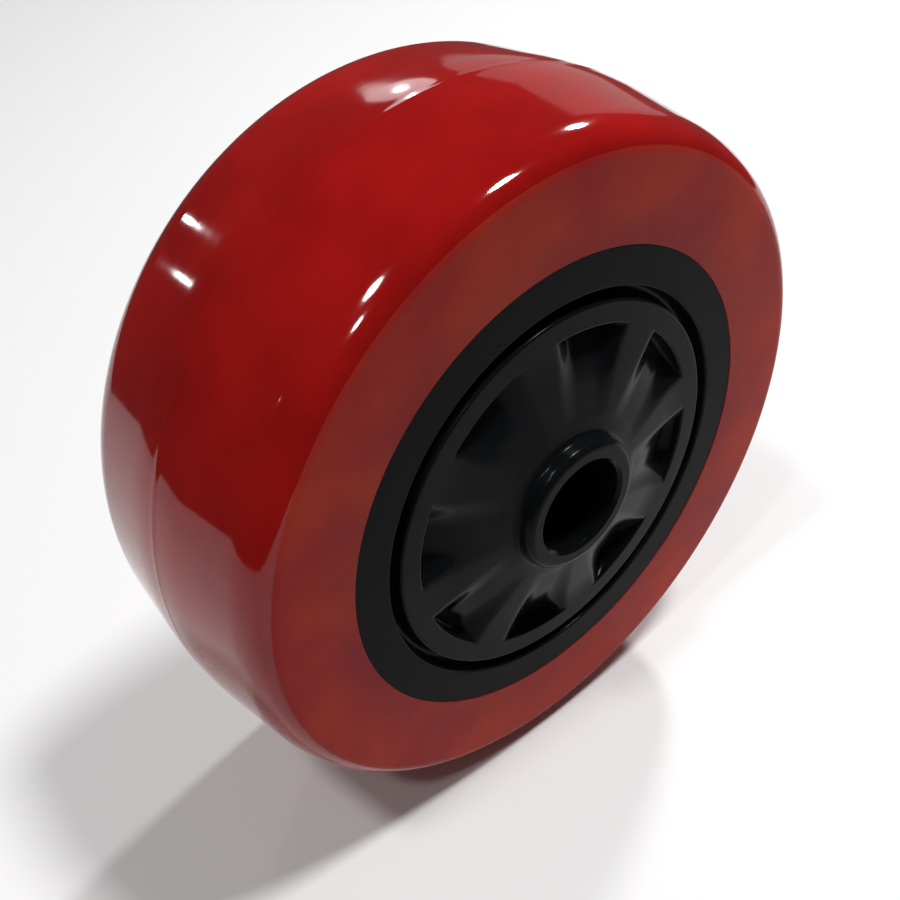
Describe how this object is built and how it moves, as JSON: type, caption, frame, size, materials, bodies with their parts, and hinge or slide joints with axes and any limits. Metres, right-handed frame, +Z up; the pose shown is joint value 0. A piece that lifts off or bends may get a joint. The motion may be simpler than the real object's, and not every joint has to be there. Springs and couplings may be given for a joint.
{
  "type": "castor wheel",
  "caption": "Plain-bore castor wheel with a glossy red polyurethane tread moulded round a black plastic core whose dished hub faces have eight scoops between ribs.",
  "frame": {"origin": "centre of the wheel, on the bore's axis at mid width", "axes": "+Y along the axle the wheel spins on, +Z up, so that the wheel stands on its tread"},
  "size_m": [0.1, 0.0448, 0.1],
  "materials": {
    "polyurethane": "glossy red polyurethane, satin on the side walls",
    "black_plastic": "satin moulded black plastic"
  },
  "bodies": {
    "root": {"tread": "polyurethane", "core": "black_plastic"}
  },
  "joints": []
}
